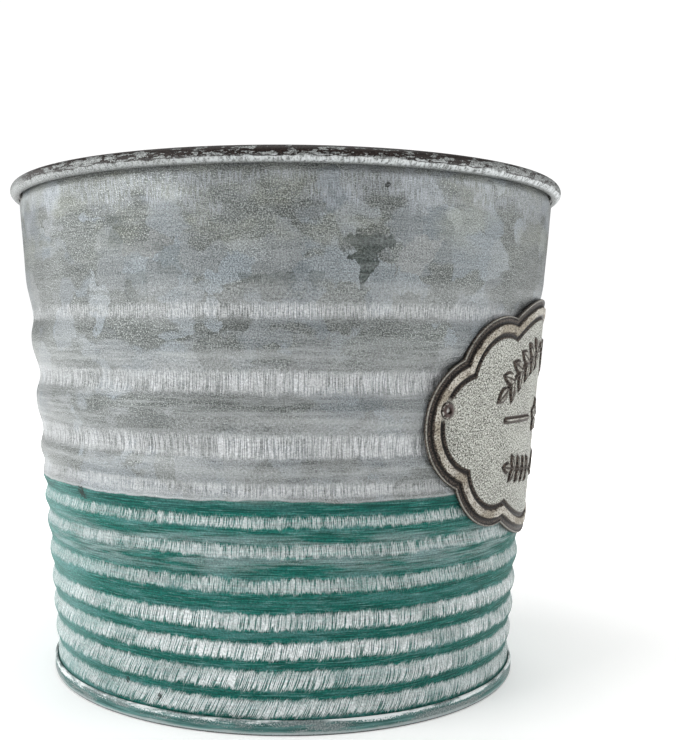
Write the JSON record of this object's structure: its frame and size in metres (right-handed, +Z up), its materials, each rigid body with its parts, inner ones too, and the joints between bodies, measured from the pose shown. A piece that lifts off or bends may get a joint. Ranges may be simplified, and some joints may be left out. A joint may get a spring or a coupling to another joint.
{
  "type": "florist bucket",
  "caption": "Tapered ribbed sheet-metal florist bucket with rolled rim, double-seamed bottom and riveted embossed plaque.",
  "frame": {"origin": "centre of the foot seam's circle, on the surface that the bucket stands on", "axes": "+Z up along the bucket's axis, -Y out of the plaque, +X to the right of someone who faces the plaque"},
  "size_m": [0.2, 0.2, 0.172],
  "materials": {
    "galvanised_sheet": "weathered zinc with brushed white ribs over grey, and worn teal paint on the lower part",
    "steel_wire": "plain drawn steel wire",
    "painted_foot": "worn teal paint on the foot seam, bare zinc inside and underneath",
    "sealing_compound": "matte grey sealing compound",
    "plaque_enamel": "aged cream paint with dark brown rubbed into the recesses",
    "rivet_alloy": "dark painted with bright worn edges",
    "rivet_stem_steel": "plain steel"
  },
  "bodies": {
    "root": {"bucket_wall": "galvanised_sheet", "rim_wire": "steel_wire", "bucket_bottom": "painted_foot", "seam_sealant": "sealing_compound", "plaque": "plaque_enamel", "plaque_rivet_left": "rivet_alloy", "plaque_rivet_right": "rivet_alloy", "rivet_stem_left": "rivet_stem_steel", "rivet_stem_right": "rivet_stem_steel"}
  },
  "joints": []
}
